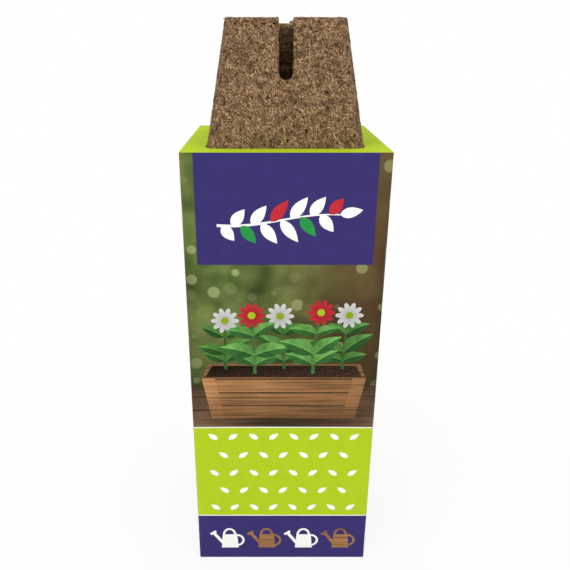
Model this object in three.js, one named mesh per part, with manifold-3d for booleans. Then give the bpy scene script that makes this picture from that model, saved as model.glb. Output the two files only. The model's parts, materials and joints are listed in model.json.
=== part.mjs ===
// Twelve square plant pots of moulded wood fibre, nested upside down in a printed card sleeve.
// The sleeve lifts off the stack, and each pot lifts off the one below it.
// Millimetres, +Z up. The origin is on the floor under the middle of the stack, and the front faces -Y.
import * as THREE from "three";
import { mergeVertices } from "three/addons/utils/BufferGeometryUtils.js";
import Module from "manifold-3d";

const wasm = await Module();
wasm.setup();

// Driving dimensions of a pot, which stands on its mouth with its base up
const POT_COUNT = 12;
const RIM_WIDTH = 80; // outside of the lip
const LIP_OVERHANG = 2.5; // from the wall's outer face to the lip's
const LIP_HEIGHT = 5;
const LIP_CHAMFER = 1.2;
const POT_HEIGHT = 80;
const BASE_WIDTH = 48.5; // outside of the wall at the base
const WALL = 2.3; // square to the wall's face
const CORNER_RADIUS = 5; // outside of the wall's upright corners
const BASE_THICKNESS = 2.5;
const FOOT_HEIGHT = 1.9; // the rim that the pot stands on when it is turned over
const FOOT_WIDTH = 4;
const PUNT_GAP = 0.4; // from the sunken middle of a base down to the next pot's base
const SLOT_WIDTH = 5.5; // drainage slots, one in the middle of each side
const SLOT_RISE = 23; // along the height, from the foot
const SLOT_RUN = 11; // into the base, from the wall's outer face at the foot
const NEST_GAP = 0.3; // between one pot's wall and the next, square to the wall

// Driving dimensions of the card sleeve
const BOARD = 0.5; // thickness of the card
const RIM_CLEARANCE = 1.5; // between a pot's lip and the card
const EXPOSED_HEIGHT = 49; // of the top pot, above the sleeve
const COLLAR_GAP = 0.3; // between the top pot's wall and the opening in the top panel
const SEAM_FLAP_WIDTH = 12;
const SEAM_FLAP_BEVEL = 5;
const TOP_FLAP_LENGTH = 15;
const TOP_FLAP_BEVEL = 6;
const SHOULDER_SETBACK = 1.5; // of a shoulder flap's edge from the opening's edge
const SHOULDER_END_GAP = 1; // at each end of a shoulder flap
const SHOULDER_BEVEL = 4;

const CORNER_STEPS = 2; // curve divisions, two segments each, in a rounded corner
const CUT_MARGIN = 1; // how far a cutter runs past what it cuts

// A pot's wall
const mouthHalf = RIM_WIDTH / 2 - LIP_OVERHANG;
const wallSlope = (mouthHalf - BASE_WIDTH / 2) / POT_HEIGHT;
const wallAngle = Math.atan(wallSlope);
const wallAcross = WALL / Math.cos(wallAngle); // the wall's thickness, measured level
const cavityRadius = Math.max(CORNER_RADIUS - wallAcross, WALL / 4);

// The stack
const nestPitch = (WALL + NEST_GAP) / Math.sin(wallAngle);
const stackHeight = POT_HEIGHT + (POT_COUNT - 1) * nestPitch;

// The sleeve
const sleeveHeight = stackHeight - EXPOSED_HEIGHT;
const sleeveOuter = RIM_WIDTH / 2 + RIM_CLEARANCE + BOARD; // half its width and depth
const sleeveInner = sleeveOuter - BOARD;
const foldHeight = sleeveHeight - BOARD; // underside of the top panel
const collarHalf = outerHalf(POT_HEIGHT - EXPOSED_HEIGHT - BOARD) + COLLAR_GAP;

// Half of a pot's outer width at a height above its mouth
function outerHalf(height) {
  return mouthHalf - wallSlope * height;
}

// A closed geometry as a solid that can be joined and cut
function solidOf(geometry) {
  geometry.deleteAttribute("normal");
  geometry.deleteAttribute("uv");
  const merged = mergeVertices(geometry);
  const vertProperties = new Float32Array(merged.attributes.position.array);
  const triVerts = new Uint32Array(merged.index.array);
  return new wasm.Manifold(new wasm.Mesh({ numProp: 3, vertProperties, triVerts }));
}

// A joined or cut solid as a geometry with flat faces
function geometryOf(solid) {
  const { vertProperties, triVerts } = solid.getMesh();
  const indexed = new THREE.BufferGeometry();
  indexed.setAttribute("position", new THREE.BufferAttribute(vertProperties, 3));
  indexed.setIndex(new THREE.BufferAttribute(triVerts, 1));
  const flat = indexed.toNonIndexed();
  flat.computeVertexNormals();
  return flat;
}

// A square with rounded corners, centred on the origin
function roundedSquare(half, radius) {
  const shape = new THREE.Shape();
  const centre = half - radius;
  const quarter = Math.PI / 2;
  [[1, 1], [-1, 1], [-1, -1], [1, -1]].forEach(([x, y], turn) => {
    shape.absarc(x * centre, y * centre, radius, turn * quarter, (turn + 1) * quarter);
  });
  shape.closePath();
  return shape;
}

// A square block with rounded upright corners, standing on bottom, whose sides lean in by slope as they rise
function leaningBlock(half, radius, bottom, height, slope) {
  const block = new THREE.ExtrudeGeometry(roundedSquare(half, radius), {
    depth: height,
    bevelEnabled: false,
    curveSegments: CORNER_STEPS,
  });
  const position = block.attributes.position;
  for (let i = 0; i < position.count; i++) {
    const [x, y, z] = [position.getX(i), position.getY(i), position.getZ(i)];
    const lean = slope * z;
    position.setXYZ(i, x - Math.sign(x) * lean, y - Math.sign(y) * lean, z + bottom);
  }
  return block;
}

// An outline in X and Z, made into a plate that runs from front to back along Y
function uprightPlate(outline, front, back) {
  const plate = new THREE.ExtrudeGeometry(outline, {
    depth: back - front,
    bevelEnabled: false,
    curveSegments: 2 * CORNER_STEPS,
  });
  return plate.rotateX(Math.PI / 2).translate(0, back, 0);
}

// The cutter for the drainage slot in a pot's front: round at its foot, open at the base
function slotCutter() {
  const foot = POT_HEIGHT - SLOT_RISE;
  const radius = SLOT_WIDTH / 2;
  const outline = new THREE.Shape();
  outline.moveTo(radius, POT_HEIGHT + CUT_MARGIN);
  outline.lineTo(-radius, POT_HEIGHT + CUT_MARGIN);
  outline.absarc(0, foot + radius, radius, Math.PI, 2 * Math.PI);
  outline.closePath();
  const innerEnd = SLOT_RUN - BASE_WIDTH / 2;
  return uprightPlate(outline, -outerHalf(foot) - CUT_MARGIN, innerEnd);
}

// The sunken middle of a pot's base, which the slots run up to: as one solid, and the hollow in it
function puntSolids() {
  const top = POT_HEIGHT - FOOT_HEIGHT;
  const bottom = top - nestPitch + PUNT_GAP;
  const topHalf = BASE_WIDTH / 2 - SLOT_RUN;
  const bottomHalf = topHalf - wallSlope * (top - bottom);
  const body = leaningBlock(bottomHalf, CORNER_RADIUS, bottom, top - bottom, -wallSlope);
  const hollowHalf = bottomHalf - wallAcross + wallSlope * BASE_THICKNESS;
  const hollowDepth = top - bottom - BASE_THICKNESS + CUT_MARGIN;
  const hollow = leaningBlock(hollowHalf, cavityRadius, bottom + BASE_THICKNESS, hollowDepth, -wallSlope);
  return { body: solidOf(body), hollow: solidOf(hollow) };
}

// One pot, standing on its mouth at z = 0
function potGeometry() {
  const wall = leaningBlock(mouthHalf, CORNER_RADIUS, 0, POT_HEIGHT, wallSlope);
  const lipRadius = CORNER_RADIUS + LIP_OVERHANG;
  const lipStraight = LIP_HEIGHT - LIP_CHAMFER;
  const lip = leaningBlock(RIM_WIDTH / 2, lipRadius, 0, lipStraight, 0);
  const lipTop = leaningBlock(RIM_WIDTH / 2, lipRadius, lipStraight, LIP_CHAMFER, 1);
  const ceiling = POT_HEIGHT - FOOT_HEIGHT - BASE_THICKNESS;
  const cavityHalf = mouthHalf - wallAcross + wallSlope * CUT_MARGIN;
  const cavity = leaningBlock(cavityHalf, cavityRadius, -CUT_MARGIN, ceiling + CUT_MARGIN, wallSlope);
  const recessHalf = BASE_WIDTH / 2 - FOOT_WIDTH;
  const recess = leaningBlock(recessHalf, cavityRadius, POT_HEIGHT - FOOT_HEIGHT, FOOT_HEIGHT + CUT_MARGIN, 0);
  const punt = puntSolids();
  let pot = solidOf(wall).add(solidOf(lip)).add(solidOf(lipTop));
  pot = pot.subtract(solidOf(cavity)).subtract(solidOf(recess));
  pot = pot.add(punt.body).subtract(punt.hollow);
  for (let side = 0; side < 4; side++) {
    pot = pot.subtract(solidOf(slotCutter().rotateZ((side * Math.PI) / 2)));
  }
  return geometryOf(pot);
}

// A box between two corners
function boxGeometry(low, high) {
  const size = high.map((value, axis) => value - low[axis]);
  const middle = high.map((value, axis) => (value + low[axis]) / 2);
  return new THREE.BoxGeometry(...size).translate(...middle);
}

// A flap that hangs from its top edge, with both lower corners cut off
function hangingFlap(left, right, top, length, bevel, front, back) {
  const outline = new THREE.Shape();
  outline.moveTo(left, top);
  outline.lineTo(left + bevel, top - length);
  outline.lineTo(right - bevel, top - length);
  outline.lineTo(right, top);
  outline.closePath();
  return uprightPlate(outline, front, back);
}

// The card panel across the sleeve's top, with the opening that the top pot stands out of
function topPanelGeometry() {
  const panel = boxGeometry(
    [-sleeveOuter, -sleeveInner, foldHeight],
    [sleeveOuter, sleeveOuter, sleeveHeight],
  );
  const opening = leaningBlock(
    collarHalf,
    CORNER_RADIUS + COLLAR_GAP,
    foldHeight - CUT_MARGIN,
    BOARD + 2 * CUT_MARGIN,
    0,
  );
  return geometryOf(solidOf(panel).subtract(solidOf(opening)));
}

// The strip on the left panel's back edge that the back panel is glued to
function seamFlapGeometry() {
  const left = -sleeveInner;
  const right = left + SEAM_FLAP_WIDTH;
  const top = foldHeight - BOARD - SHOULDER_END_GAP;
  const outline = new THREE.Shape();
  outline.moveTo(left, 0);
  outline.lineTo(right, SEAM_FLAP_BEVEL);
  outline.lineTo(right, top - SEAM_FLAP_BEVEL);
  outline.lineTo(left, top);
  outline.closePath();
  return uprightPlate(outline, sleeveInner - BOARD, sleeveInner);
}

// The flap along a side panel's top edge, folded in under the top panel; side is -1 for left and 1 for right
function shoulderFlapGeometry(side) {
  const root = side * sleeveInner;
  const tip = side * (collarHalf + SHOULDER_SETBACK);
  const front = -sleeveInner + BOARD + SHOULDER_END_GAP;
  const back = sleeveInner - BOARD - SHOULDER_END_GAP;
  const outline = new THREE.Shape();
  outline.moveTo(root, front);
  outline.lineTo(tip, front + SHOULDER_BEVEL);
  outline.lineTo(tip, back - SHOULDER_BEVEL);
  outline.lineTo(root, back);
  outline.closePath();
  const flap = new THREE.ExtrudeGeometry(outline, { depth: BOARD, bevelEnabled: false });
  return flap.translate(0, 0, foldHeight - BOARD);
}

const fibre = new THREE.MeshStandardMaterial({ color: 0x7d6347, roughness: 0.95, metalness: 0 });
const printedCard = new THREE.MeshStandardMaterial({ color: 0x3f3772, roughness: 0.5, metalness: 0 });
const limeCard = new THREE.MeshStandardMaterial({ color: 0xb4cd34, roughness: 0.5, metalness: 0 });
const bareCard = new THREE.MeshStandardMaterial({ color: 0xd8d4c8, roughness: 0.8, metalness: 0 });

// A named piece of the pack
function piece(name, geometry, material) {
  const mesh = new THREE.Mesh(geometry, material);
  mesh.name = name;
  return mesh;
}

// The nested pots: pot_01 is the top one, and the last stands on the floor
function potStack() {
  const stack = new THREE.Group();
  const geometry = potGeometry();
  for (let number = 1; number <= POT_COUNT; number++) {
    const pot = piece(`pot_${String(number).padStart(2, "0")}`, geometry, fibre);
    pot.position.z = (POT_COUNT - number) * nestPitch;
    stack.add(pot);
  }
  return stack;
}

// The sleeve: one folded card, taken as the flat panels and flaps between its folds
function cardSleeve() {
  const [outer, inner] = [sleeveOuter, sleeveInner];
  const front = boxGeometry([-outer, -outer, 0], [outer, -inner, sleeveHeight]);
  const back = boxGeometry([-outer, inner, 0], [outer, outer, foldHeight]);
  const left = boxGeometry([-outer, -inner, 0], [-inner, inner, foldHeight]);
  const right = boxGeometry([inner, -inner, 0], [outer, inner, foldHeight]);
  const topFlap = hangingFlap(-inner, inner, foldHeight, TOP_FLAP_LENGTH, TOP_FLAP_BEVEL, -inner, BOARD - inner);
  const sleeve = new THREE.Group();
  sleeve.add(
    piece("front_panel", front, printedCard),
    piece("back_panel", back, printedCard),
    piece("left_panel", left, printedCard),
    piece("right_panel", right, printedCard),
    piece("top_panel", topPanelGeometry(), limeCard),
    piece("top_glue_flap", topFlap, bareCard),
    piece("side_seam_flap", seamFlapGeometry(), bareCard),
    piece("left_shoulder_flap", shoulderFlapGeometry(-1), bareCard),
    piece("right_shoulder_flap", shoulderFlapGeometry(1), bareCard),
  );
  return sleeve;
}

const pack = new THREE.Group();
pack.add(potStack(), cardSleeve());

export default pack;
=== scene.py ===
"""Nested wood-fibre plant pots in a printed card sleeve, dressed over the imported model.

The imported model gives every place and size. This script covers it with moulded fibre and printed
card. Lengths are in metres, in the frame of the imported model, unless a name ends in _mm. What is
printed is drawn in millimetres on the flat card.
"""

import json
import logging
import math
import random
from collections.abc import Callable, Sequence
from dataclasses import dataclass, field
from enum import Enum
from typing import Any, ClassVar

import bmesh
import bpy
from bpy.types import Material, Mesh, Node, NodeOutputs, NodeSocket, NodeTree, Object
from mathutils import Euler, Matrix, Vector
from mathutils.geometry import delaunay_2d_cdt

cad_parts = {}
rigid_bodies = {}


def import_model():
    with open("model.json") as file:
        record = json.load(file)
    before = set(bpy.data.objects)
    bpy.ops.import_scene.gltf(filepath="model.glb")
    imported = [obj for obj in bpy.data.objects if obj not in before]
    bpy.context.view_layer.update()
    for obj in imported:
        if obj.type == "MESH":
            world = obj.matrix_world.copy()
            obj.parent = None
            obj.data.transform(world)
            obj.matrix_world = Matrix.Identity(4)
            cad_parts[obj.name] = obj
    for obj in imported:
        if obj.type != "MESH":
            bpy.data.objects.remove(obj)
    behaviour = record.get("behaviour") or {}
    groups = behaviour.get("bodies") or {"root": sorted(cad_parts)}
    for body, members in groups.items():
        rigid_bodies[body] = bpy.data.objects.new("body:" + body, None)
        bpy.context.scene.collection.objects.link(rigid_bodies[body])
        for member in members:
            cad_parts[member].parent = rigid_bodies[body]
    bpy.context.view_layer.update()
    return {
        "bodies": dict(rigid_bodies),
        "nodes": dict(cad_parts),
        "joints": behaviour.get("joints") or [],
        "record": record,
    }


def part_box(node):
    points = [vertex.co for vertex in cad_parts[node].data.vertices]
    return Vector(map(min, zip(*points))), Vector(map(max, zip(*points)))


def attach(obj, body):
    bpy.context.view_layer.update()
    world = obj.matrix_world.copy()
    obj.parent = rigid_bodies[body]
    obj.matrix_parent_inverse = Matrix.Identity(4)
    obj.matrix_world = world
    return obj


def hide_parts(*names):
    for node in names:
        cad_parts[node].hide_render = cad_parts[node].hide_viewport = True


LOG = logging.getLogger("pot_pack")
MM = 0.001
WELD = 0.001 * MM

# Nearly every value of a noise texture lies between these
NOISE_SPAN = (0.3, 0.7)

Colour = tuple[float, float, float, float]
Point = tuple[float, float]
Outline = Sequence[Point]

# From a point on the flat card: how light its print is, and where it goes and which way it looks
Light = Callable[[float, float], float]
Placing = Callable[[float, float], tuple[Vector, Vector]]

WHITE: Colour = (1.0, 1.0, 1.0, 1.0)


def linear(code: str) -> Colour:
    """Turn an sRGB hex colour into linear light.

    Args:
        code: The colour as "#rrggbb".

    Returns:
        Red, green, blue and an alpha of 1.
    """
    channels = [int(code[i : i + 2], 16) / 255 for i in (1, 3, 5)]
    light = [c / 12.92 if c <= 0.04045 else ((c + 0.055) / 1.055) ** 2.4 for c in channels]
    return (*light, 1.0)


def add(
    tree: NodeTree, kind: str, inputs: dict[int | str, Any] | None = None, **settings: Any
) -> Node:
    """Add one node to a tree, with its settings and links.

    Args:
        tree: The shader or geometry tree.
        kind: Blender's name for the node's type.
        inputs: By name or number, a value, a socket, or a node whose first live output is linked.
        settings: The node's own properties.

    Returns:
        The new node.
    """
    node = tree.nodes.new(kind)
    for key, value in settings.items():
        setattr(node, key, value)
    for key, value in (inputs or {}).items():
        if isinstance(value, Node):
            value = next(out for out in value.outputs if out.enabled)
        if isinstance(value, NodeSocket):
            tree.links.new(value, node.inputs[key])
        else:
            node.inputs[key].default_value = value
    return node


def coat(
    tree: NodeTree,
    colour: Node | Colour,
    tint: str,
    pattern: Node | NodeSocket,
    band: tuple[float, float],
    most: float = 1.0,
    ease: str = "LINEAR",
) -> Node:
    """Lay a tint over a colour where a pattern is strong.

    Args:
        tree: The material's tree.
        colour: The colour below, from a node or in linear light.
        tint: The colour laid over it, as "#rrggbb".
        pattern: What gives the pattern's strength.
        band: The strength where the tint starts to show, and where it is full.
        most: How far a full tint hides what is below.
        ease: How the tint comes in between.

    Returns:
        The node that gives the tinted colour.
    """
    ramp = {"Value": pattern, "From Min": band[0], "From Max": band[1], "To Max": most}
    share = add(tree, "ShaderNodeMapRange", ramp, interpolation_type=ease)
    return add(tree, "ShaderNodeMix", {0: share, 6: colour, 7: linear(tint)}, data_type="RGBA")


def new_material(name: str) -> tuple[Material, NodeTree]:
    """Make an empty node material.

    Args:
        name: The material's name.

    Returns:
        The material and its tree, without nodes.
    """
    material = bpy.data.materials.new(name)
    material.use_nodes = True
    material.node_tree.nodes.clear()
    return material, material.node_tree


def finished(material: Material, surface: dict[str, Any]) -> Material:
    """Close a material with its surface.

    Args:
        material: The material, its tree built up to the surface.
        surface: What the surface's inputs get.

    Returns:
        The material.
    """
    shader = add(material.node_tree, "ShaderNodeBsdfPrincipled", surface)
    add(material.node_tree, "ShaderNodeOutputMaterial", {"Surface": shader})
    return material


def link_object(name: str, mesh: Mesh) -> Object:
    """Put a mesh into the scene as an object at the origin.

    Args:
        name: The object's name.
        mesh: The mesh, with its place in it.

    Returns:
        The object.
    """
    obj = bpy.data.objects.new(name, mesh)
    bpy.context.scene.collection.objects.link(obj)
    return obj


@dataclass(frozen=True)
class MouldedFibre:
    """Wood fibre felted in water, pressed over a mould and dried."""

    # The eye gets a matt brown mat of short strands that lie every way, some pale, with painted
    # shade near black in the gaps between strands and in the pits. Single fibres are too fine to
    # show, so each strand is drawn a few times as wide.
    name: str = "moulded_wood_fibre"
    ground: str = "#60401F"
    grey: str = "#64492A"
    strand: str = "#80613E"
    pale: str = "#D0B08C"
    rust: str = "#774424"
    # Painted shade, near black, in the gaps between strands and in the pits
    gap_and_pit_shade: str = "#331900"
    strand_length_mm: float = 1.9
    strand_width_mm: float = 0.25
    draw: float = 1.6
    tip: tuple[float, float, float] = (0.35, 0.6, 0.9)
    pit_mm: float = 1.5
    clump_mm: float = 2.8
    clump_light: tuple[float, float] = (0.52, 1.13)
    drift_mm: float = 11.0
    relief_mm: float = 0.5
    relief: float = 0.9
    roughness: float = 0.95
    ior: float = 1.45
    specular: float = 0.1

    def build(self) -> Material:
        """Build the material.

        Returns:
            The material.
        """
        material, tree = new_material(self.name)
        place = add(tree, "ShaderNodeTexCoord").outputs["Object"]
        mats = [self._mat(tree, place, way) for way in self._ways()]
        sizes = ((self.drift_mm, 2.0), (self.pit_mm, 2.0), (self.clump_mm, 1.0))
        textures = ({"Vector": place, "Scale": 1 / (mm * MM), "Detail": fine} for mm, fine in sizes)
        drift, hollows, clump = (add(tree, "ShaderNodeTexNoise", noise) for noise in textures)
        colour = coat(tree, linear(self.ground), self.grey, drift, (0.36, 0.62))
        # The near-black coats are painted shade, in the gaps between strands and in the hollows
        coats = (
            (mats[0], self.gap_and_pit_shade, (0.56, 0.68)),
            (mats[2], self.strand, (0.50, 0.58)),
            (mats[4], self.rust, (0.60, 0.68)),
            (mats[5], self.gap_and_pit_shade, (0.59, 0.70)),
            (mats[1], self.pale, (0.54, 0.66)),
            (mats[3], self.pale, (0.55, 0.67)),
            (hollows, self.gap_and_pit_shade, (0.59, 0.72)),
        )
        for mat, tint, band in coats:
            colour = coat(tree, colour, tint, mat, band)
        low, high = NOISE_SPAN
        dark, light = self.clump_light
        ramp = {"Value": clump, "From Min": low, "From Max": high, "To Min": dark, "To Max": light}
        depth = add(tree, "ShaderNodeMapRange", ramp)
        colour = add(tree, "ShaderNodeVectorMath", {0: colour, "Scale": depth}, operation="SCALE")
        relief = add(tree, "ShaderNodeMath", {0: mats[1], 1: mats[3]}, operation="MAXIMUM")
        relief = add(tree, "ShaderNodeMath", {0: relief, 1: hollows}, operation="SUBTRACT")
        rough = {"Height": relief, "Strength": self.relief, "Distance": self.relief_mm * MM}
        surface = {
            "Base Color": colour,
            "Roughness": self.roughness,
            "IOR": self.ior,
            "Specular IOR Level": self.specular,
            "Normal": add(tree, "ShaderNodeBump", rough),
        }
        return finished(material, surface)

    def _ways(self) -> list[Vector]:
        """Spread the strands: an icosahedron's diagonals, tipped off the walls and drawn upwards.

        Returns:
            Six ways.
        """
        golden = (1 + math.sqrt(5)) / 2
        sides = [(0, 1, golden), (1, golden, 0), (golden, 0, 1)]
        mirrored = [(0, -1, golden), (-1, golden, 0), (golden, 0, -1)]
        drawn = Matrix.Diagonal((1.0, 1.0, self.draw)) @ Euler(self.tip).to_matrix()
        return [drawn @ Vector(way) for pair in zip(sides, mirrored) for way in pair]

    def _mat(self, tree: NodeTree, place: NodeSocket, way: Vector) -> Node:
        """Draw one mat of strands that lie the same way.

        Args:
            tree: The material's tree.
            place: Object coordinates.
            way: The way the strands run.

        Returns:
            The node that gives how strongly a strand shows.
        """
        strand = (self.strand_length_mm * MM, self.strand_width_mm * MM, self.strand_width_mm * MM)
        lie = {"Vector": place, "Rotation": way.to_track_quat("X", "Z").to_euler(), "Scale": strand}
        along = add(tree, "ShaderNodeMapping", lie, vector_type="TEXTURE")
        return add(tree, "ShaderNodeTexNoise", {"Vector": along, "Scale": 1.0, "Detail": 1.0})


@dataclass(frozen=True)
class LooseFibre:
    """Single wood fibres that lie on the pressed mat or have worked loose from it."""

    # The eye gets thin matt threads from straw to dark brown, each of one tone along its length
    name: str = "loose_wood_fibre"
    dark: str = "#4A3016"
    middle: str = "#72553D"
    pale: str = "#B79E80"
    roughness: float = 0.9
    specular: float = 0.25

    def build(self) -> Material:
        """Build the material.

        Returns:
            The material.
        """
        material, tree = new_material(self.name)
        tone = add(tree, "ShaderNodeAttribute", attribute_name=FeltTree.TONE).outputs["Fac"]
        colour = coat(tree, linear(self.dark), self.middle, tone, (0.0, 0.45))
        colour = coat(tree, colour, self.pale, tone, (0.55, 1.0))
        surface = {
            "Base Color": colour,
            "Roughness": self.roughness,
            "Specular IOR Level": self.specular,
        }
        return finished(material, surface)


@dataclass(frozen=True)
class FeltTree:
    """Geometry Nodes that roughen a pressed wall and lay fibres on it."""

    TONE: ClassVar[str] = "fibre_tone"

    name: str = "felted_wall"
    lump_mm: float = 5.0
    lump_depth_mm: float = 0.16
    pit_mm: float = 1.4
    pit_depth_mm: float = 0.14
    fibre_bend: float = 0.45
    fibre_steps: int = 2
    fibre_sides: int = 3
    fibre_sizes: tuple[float, float] = (0.55, 1.3)
    seed: int = 7

    # How far upwards a face looks where pressing starts and where it is full
    pressed_upward: tuple[float, float] = (-0.9, -0.3)

    # How far outwards a face looks, at the least, to bear fibres
    least_outward: float = -0.1

    def build(self, mat: Material, fibre: Material) -> NodeTree:
        """Build the tree.

        Args:
            mat: Material of the pressed wall.
            fibre: Material of the fibres on it.

        Returns:
            The tree, with named inputs for the fibres' sizes and how many there are.
        """
        tree = bpy.data.node_groups.new(self.name, "GeometryNodeTree")
        tree.interface.new_socket("Geometry", in_out="INPUT", socket_type="NodeSocketGeometry")
        for name in ("Fibre length", "Fibre radius", "Fibres per area", "Lowest", "Lift"):
            tree.interface.new_socket(name, in_out="INPUT", socket_type="NodeSocketFloat")
        tree.interface.new_socket("Geometry", in_out="OUTPUT", socket_type="NodeSocketGeometry")
        given = add(tree, "NodeGroupInput").outputs
        wall = self._roughen(tree, given["Geometry"])
        fibres = self._lay_fibres(tree, wall, given)
        wall = add(tree, "GeometryNodeSetMaterial", {"Geometry": wall, "Material": mat})
        fibres = add(tree, "GeometryNodeSetMaterial", {"Geometry": fibres, "Material": fibre})
        both = add(tree, "GeometryNodeJoinGeometry", {"Geometry": wall})
        tree.links.new(fibres.outputs["Geometry"], both.inputs["Geometry"])
        add(tree, "NodeGroupOutput", {"Geometry": both})
        return tree

    def _roughen(self, tree: NodeTree, wall: NodeSocket) -> Node:
        """Press lumps and pits into the wall, always inwards, and leave what looks down flat.

        Args:
            tree: The tree.
            wall: The smooth wall.

        Returns:
            The node that gives the rough wall.
        """
        place = add(tree, "GeometryNodeInputPosition")
        normal = add(tree, "GeometryNodeInputNormal")
        upward = add(tree, "ShaderNodeSeparateXYZ", {0: normal}).outputs["Z"]
        start, full = self.pressed_upward
        ramp = {"Value": upward, "From Min": start, "From Max": full}
        pressed = add(tree, "ShaderNodeMapRange", ramp)
        low, high = NOISE_SPAN
        sizes = ((self.lump_mm, self.lump_depth_mm), (self.pit_mm, self.pit_depth_mm))
        for size_mm, depth_mm in sizes:
            texture = {"Vector": place, "Scale": 1 / (size_mm * MM), "Detail": 2.0}
            noise = add(tree, "ShaderNodeTexNoise", texture)
            span = {"From Min": low, "From Max": high, "To Min": -depth_mm * MM, "To Max": 0.0}
            depth = add(tree, "ShaderNodeMapRange", {"Value": noise, **span})
            depth = add(tree, "ShaderNodeMath", {0: depth, 1: pressed}, operation="MULTIPLY")
            push = add(tree, "ShaderNodeVectorMath", {0: normal, "Scale": depth}, operation="SCALE")
            wall = add(tree, "GeometryNodeSetPosition", {"Geometry": wall, "Offset": push})
        return add(tree, "GeometryNodeSetShadeSmooth", {"Geometry": wall, "Shade Smooth": True})

    def _thread(self, tree: NodeTree, given: NodeOutputs) -> Node:
        """Make one short bent fibre.

        Args:
            tree: The tree.
            given: The tree's own inputs.

        Returns:
            The node that gives the fibre as a mesh.
        """
        half = add(tree, "ShaderNodeMath", {0: given["Fibre length"], 1: 0.5}, operation="MULTIPLY")
        back = add(tree, "ShaderNodeMath", {0: half, 1: -1.0}, operation="MULTIPLY")
        bend = add(tree, "ShaderNodeMath", {0: half, 1: self.fibre_bend}, operation="MULTIPLY")
        arc = {
            "Resolution": self.fibre_steps,
            "Start": add(tree, "ShaderNodeCombineXYZ", {"X": back}),
            "Middle": add(tree, "ShaderNodeCombineXYZ", {"Y": bend}),
            "End": add(tree, "ShaderNodeCombineXYZ", {"X": half}),
        }
        line = add(tree, "GeometryNodeCurveQuadraticBezier", arc)
        section = {"Resolution": self.fibre_sides, "Radius": given["Fibre radius"]}
        ring = add(tree, "GeometryNodeCurvePrimitiveCircle", section)
        swept = {"Curve": line, "Profile Curve": ring, "Fill Caps": True}
        return add(tree, "GeometryNodeCurveToMesh", swept)

    def _outside(self, tree: NodeTree, lowest: NodeSocket) -> Node:
        """Pick the wall's outside, above a height.

        Args:
            tree: The tree.
            lowest: That height.

        Returns:
            The node that gives whether a face is picked.
        """
        place = add(tree, "GeometryNodeInputPosition")
        normal = add(tree, "GeometryNodeInputNormal")
        height = add(tree, "ShaderNodeSeparateXYZ", {0: place}).outputs["Z"]
        flat = {0: place, 1: (1.0, 1.0, 0.0)}
        level = add(tree, "ShaderNodeVectorMath", flat, operation="MULTIPLY")
        level = add(tree, "ShaderNodeVectorMath", {0: level}, operation="NORMALIZE")
        outward = add(tree, "ShaderNodeVectorMath", {0: level, 1: normal}, operation="DOT_PRODUCT")
        more = {"data_type": "FLOAT", "operation": "GREATER_THAN"}
        above = add(tree, "FunctionNodeCompare", {0: height, 1: lowest}, **more)
        outer = add(tree, "FunctionNodeCompare", {0: outward, 1: self.least_outward}, **more)
        return add(tree, "FunctionNodeBooleanMath", {0: above, 1: outer}, operation="AND")

    def _lay_fibres(self, tree: NodeTree, wall: Node, given: NodeOutputs) -> Node:
        """Scatter short bent fibres on the wall's outside.

        Args:
            tree: The tree.
            wall: The node that gives the rough wall.
            given: The tree's own inputs.

        Returns:
            The node that gives the fibres as a mesh.
        """
        scatter = {
            "Mesh": wall,
            "Selection": self._outside(tree, given["Lowest"]),
            "Density": given["Fibres per area"],
            "Seed": self.seed,
        }
        spots = add(tree, "GeometryNodeDistributePointsOnFaces", scatter).outputs
        lift = given["Lift"]
        drop = add(tree, "ShaderNodeMath", {0: lift, 1: -1.0}, operation="MULTIPLY")
        least = add(tree, "ShaderNodeCombineXYZ", {"X": drop, "Y": drop, "Z": 0.0})
        most = add(tree, "ShaderNodeCombineXYZ", {"X": lift, "Y": lift, "Z": math.tau})
        turns = {0: least, 1: most, "Seed": self.seed + 1}
        spin = add(tree, "FunctionNodeRandomValue", turns, data_type="FLOAT_VECTOR")
        spin = add(tree, "FunctionNodeEulerToRotation", {"Euler": spin})
        lie = {"Rotation": spots["Rotation"], "Rotate By": spin}
        turn = add(tree, "FunctionNodeRotateRotation", lie, rotation_space="LOCAL")
        short, long = self.fibre_sizes
        sizes = {2: short, 3: long, "Seed": self.seed + 2}
        laid = {
            "Points": spots["Points"],
            "Instance": self._thread(tree, given),
            "Rotation": turn,
            "Scale": add(tree, "FunctionNodeRandomValue", sizes, data_type="FLOAT"),
        }
        fibres = add(tree, "GeometryNodeInstanceOnPoints", laid)
        tones = {2: 0.0, 3: 1.0, "Seed": self.seed + 3}
        tone = add(tree, "FunctionNodeRandomValue", tones, data_type="FLOAT")
        toned = {"Geometry": fibres, "Name": self.TONE, "Value": tone}
        fibres = add(
            tree, "GeometryNodeStoreNamedAttribute", toned, data_type="FLOAT", domain="INSTANCE"
        )
        return add(tree, "GeometryNodeRealizeInstances", {"Geometry": fibres})


@dataclass(frozen=True)
class FeltGrade:
    """How closely one pot's felt is drawn."""

    voxel_mm: float
    fibre_length_mm: float
    fibre_radius_mm: float
    fibres_per_cm2: float
    lift_degrees: float

    def inputs(self, lowest: float) -> dict[str, float]:
        """Give the felt tree's inputs.

        Args:
            lowest: The height above which fibres are laid.

        Returns:
            Each input's value, by its name.
        """
        return {
            "Fibre length": self.fibre_length_mm * MM,
            "Fibre radius": self.fibre_radius_mm * MM,
            "Fibres per area": self.fibres_per_cm2 / (10 * MM) ** 2,
            "Lowest": lowest,
            "Lift": math.radians(self.lift_degrees),
        }


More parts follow.
